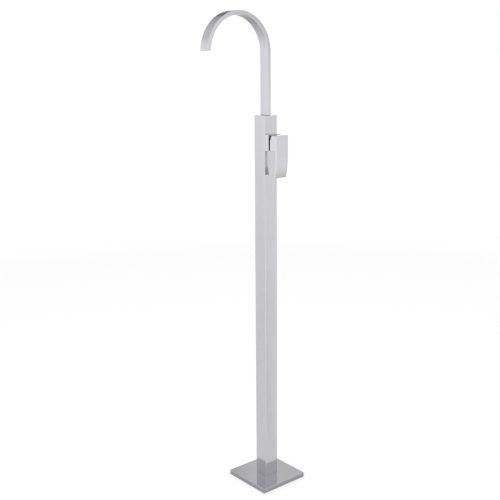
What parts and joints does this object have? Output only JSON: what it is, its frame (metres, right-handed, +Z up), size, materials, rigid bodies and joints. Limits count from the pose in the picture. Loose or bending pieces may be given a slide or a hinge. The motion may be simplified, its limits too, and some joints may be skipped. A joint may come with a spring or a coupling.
{
  "type": "floor-standing basin mixer",
  "caption": "Floor-standing basin mixer: square column on a square plate, arched flat ribbon spout that swivels, and a side lever that lifts for flow and turns for temperature.",
  "frame": {"origin": "on the floor, at the centre of the four floor bolt holes, on the column's axis", "axes": "+Z up along the column; -Y the way the spout reaches over the basin; +X the lever's side"},
  "size_m": [0.144, 0.2608, 1.2349],
  "materials": {
    "chrome": "polished chrome plate",
    "chrome_cast": "polished chrome plate on cast brass",
    "brass": "machined",
    "copper": "drawn",
    "steel": "satin",
    "black_screw": "black oxide",
    "plated_flange": "zinc plated",
    "rubber": "moulded",
    "acetal": "moulded",
    "alumina": "lapped ceramic",
    "ptfe": "turned",
    "grey_plug": "moulded"
  },
  "bodies": {
    "stand": {"cover_plate": "chrome", "cover_seal": "rubber", "floor_flange": "plated_flange", "inlet_block": "brass", "riser_block": "brass", "block_screws": "steel", "inlet_filters": "steel", "column": "chrome", "column_grub_screws": "black_screw", "column_lid": "chrome", "hot_riser": "copper", "cold_riser": "copper", "riser_seals": "rubber", "valve_body": "brass", "valve_stub": "chrome_cast", "stub_screws": "steel", "cartridge_base": "acetal", "cartridge_seals": "rubber", "fixed_disc": "alumina", "cartridge_housing": "acetal", "cartridge_nut": "brass", "swivel_slip_ring": "ptfe", "swivel_stop_screw": "black_screw"},
    "spout_arm": {"spout": "chrome", "spout_tang": "steel", "swivel_spigot": "brass", "swivel_seals": "rubber", "jet_straightener": "ptfe"},
    "mixer": {"mixing_sleeve": "acetal", "pivot_pin": "steel"},
    "disc": {"disc_carrier": "acetal", "moving_disc": "alumina"},
    "lever_arm": {"lever": "chrome_cast", "lever_stem": "brass", "lever_grub_screw": "black_screw", "lever_screw_plug": "grey_plug"}
  },
  "joints": [
    {"name": "spout_swivel", "type": "hinge", "parent": "stand", "child": "spout_arm", "pos_m": [0, 0, 0.985], "axis": [0, 0, 1], "range_deg": [-60, 60]},
    {"name": "temperature_turn", "type": "hinge", "parent": "stand", "child": "mixer", "pos_m": [0.025, 0, 0.9185], "axis": [1, 0, 0], "range_deg": [-45, 45]},
    {"name": "lever_lift", "type": "hinge", "parent": "mixer", "child": "lever_arm", "pos_m": [0.025, 0, 0.9185], "axis": [0, -1, 0], "range_deg": [0, 22]},
    {"name": "disc_slide", "type": "slide", "parent": "mixer", "child": "disc", "axis": [0, 0, 1], "range_m": [-0.00285, 0]}
  ],
  "couplings": [
    {"joint": "disc_slide", "follows": "lever_lift", "m_per_rad": -0.007415}
  ]
}
